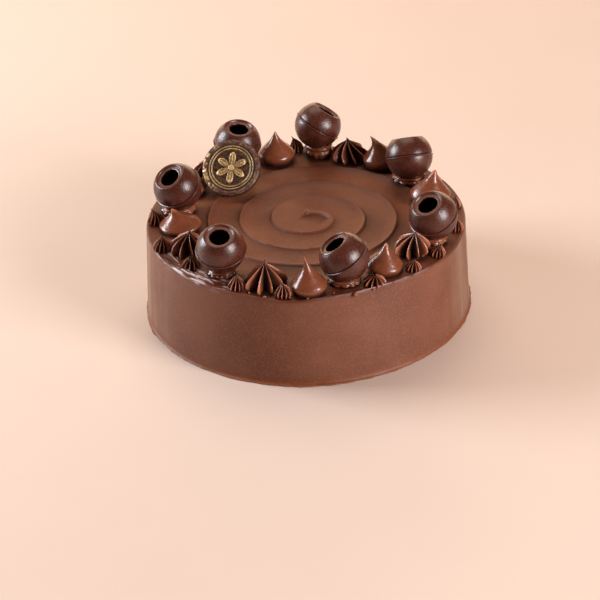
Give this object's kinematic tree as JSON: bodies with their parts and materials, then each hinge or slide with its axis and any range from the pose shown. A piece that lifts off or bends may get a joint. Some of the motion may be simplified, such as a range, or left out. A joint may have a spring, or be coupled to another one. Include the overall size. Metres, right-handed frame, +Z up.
{
  "type": "chocolate truffle cake",
  "caption": "Round chocolate cake with a smooth ganache coat and a spiral top, ringed with hollow chocolate truffles, piped drops, ridged stars and a round chocolate seal.",
  "frame": {"origin": "middle of the cake's underside, on the surface it stands on", "axes": "+Z up; the front that the picture shows faces -Y; +X is the picture's right"},
  "size_m": [0.18, 0.182, 0.081],
  "materials": {
    "frosting": "satin ganache",
    "truffle": "satin dark chocolate",
    "piping": "glossy piped ganache",
    "seal": "moulded chocolate dusted with gold"
  },
  "bodies": {
    "root": {"cake": "frosting", "truffle_back_left": "truffle", "truffle_back": "truffle", "truffle_back_right": "truffle", "truffle_right": "truffle", "truffle_front_right": "truffle", "truffle_front_left": "truffle", "truffle_left": "truffle", "dollop_back_left": "piping", "dollop_back": "piping", "dollop_back_right": "piping", "dollop_right": "piping", "dollop_front_right": "piping", "dollop_front_left": "piping", "dollop_left": "piping", "drop_front": "piping", "drop_front_right": "piping", "drop_right": "piping", "drop_back_right": "piping", "drop_back_left": "piping", "drop_left_back": "piping", "drop_left": "piping", "star_right": "piping", "star_back": "piping", "star_left_back": "piping", "star_left": "piping", "star_front_left": "piping", "small_star_01": "piping", "small_star_02": "piping", "small_star_03": "piping", "small_star_04": "piping", "small_star_05": "piping", "small_star_06": "piping", "small_star_07": "piping", "small_star_08": "piping", "small_star_09": "piping", "small_star_10": "piping", "small_star_11": "piping", "small_star_12": "piping", "seal": "seal"}
  },
  "joints": []
}
